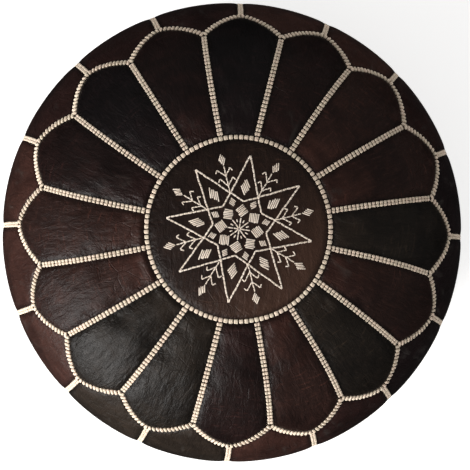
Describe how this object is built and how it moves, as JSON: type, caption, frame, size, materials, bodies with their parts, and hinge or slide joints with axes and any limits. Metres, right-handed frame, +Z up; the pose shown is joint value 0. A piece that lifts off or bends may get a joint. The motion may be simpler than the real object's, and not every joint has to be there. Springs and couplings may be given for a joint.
{
  "type": "moroccan leather floor pouf",
  "caption": "Round stuffed leather floor pouf with petal panels, a stitched star medallion on top, panelled sides and a zipped base for the filling.",
  "frame": {"origin": "on the floor, under the middle of the pouf", "axes": "+Z up through the medallion; +X along the base's zip, toward its closed end"},
  "size_m": [0.5132, 0.5132, 0.3309],
  "materials": {
    "leather_medallion": "waxed goatskin, dark brown, low sheen",
    "leather_brown": "waxed goatskin, chocolate brown, soft sheen",
    "leather_black": "waxed goatskin, near black, soft sheen",
    "leather_umber": "waxed goatskin, umber, soft sheen",
    "leather_slate": "waxed goatskin, grey brown, soft sheen",
    "leather_base": "plain brown leather, matt",
    "lining_cotton": "plain unbleached cotton",
    "stuffing_fibre": "loose cotton and fibre filling",
    "thread_cream": "thick waxed cream thread",
    "thread_dark": "dark brown sewing thread",
    "embroidery_silk": "twisted cream thread",
    "zip_tape_cloth": "woven polyester tape",
    "zip_coil_plastic": "nylon coil",
    "zip_metal": "aged brass"
  },
  "bodies": {
    "pouf": {"medallion": "leather_medallion", "petal_01": "leather_slate", "petal_02": "leather_brown", "petal_03": "leather_brown", "petal_04": "leather_umber", "petal_05": "leather_black", "petal_06": "leather_umber", "petal_07": "leather_black", "petal_08": "leather_umber", "petal_09": "leather_brown", "petal_10": "leather_brown", "petal_11": "leather_slate", "petal_12": "leather_slate", "petal_13": "leather_umber", "petal_14": "leather_brown", "petal_15": "leather_slate", "petal_16": "leather_brown", "side_panel_01": "leather_black", "side_panel_02": "leather_umber", "side_panel_03": "leather_brown", "side_panel_04": "leather_brown", "side_panel_05": "leather_umber", "side_panel_06": "leather_umber", "side_panel_07": "leather_umber", "side_panel_08": "leather_brown", "side_panel_09": "leather_brown", "side_panel_10": "leather_brown", "side_panel_11": "leather_slate", "side_panel_12": "leather_slate", "side_panel_13": "leather_brown", "side_panel_14": "leather_umber", "side_panel_15": "leather_black", "side_panel_16": "leather_black", "base_half_front": "leather_base", "base_half_back": "leather_base", "lining": "lining_cotton", "stuffing": "stuffing_fibre", "ring_seam_thread": "thread_cream", "petal_seam_threads": "thread_cream", "scallop_seam_thread": "thread_cream", "side_seam_threads": "thread_cream", "base_seam_thread": "thread_dark", "star_outline": "embroidery_silk", "star_lozenges": "embroidery_silk", "sprig_stems": "embroidery_silk", "sprig_lozenges": "embroidery_silk", "crossing_lozenges": "embroidery_silk", "centre_squares": "embroidery_silk", "centre_rays": "embroidery_silk", "centre_seeds": "embroidery_silk", "zip_tape_front": "zip_tape_cloth", "zip_tape_back": "zip_tape_cloth", "zip_coil_front": "zip_coil_plastic", "zip_coil_back": "zip_coil_plastic", "zip_bottom_stop": "zip_coil_plastic", "zip_top_stops": "zip_coil_plastic", "zip_seam_threads": "thread_dark"},
    "zip_slider": {"zip_slider": "zip_metal", "zip_pull_pin": "zip_metal"},
    "zip_pull": {"zip_pull": "zip_metal"}
  },
  "joints": [
    {"name": "zip_slide", "type": "slide", "parent": "pouf", "child": "zip_slider", "axis": [-1, 0, 0], "range_m": [0, 0.336]},
    {"name": "pull_hinge", "type": "hinge", "parent": "zip_slider", "child": "zip_pull", "pos_m": [0.168, 0, 0.0049], "axis": [0, -1, 0], "range_deg": [0, 160]}
  ]
}
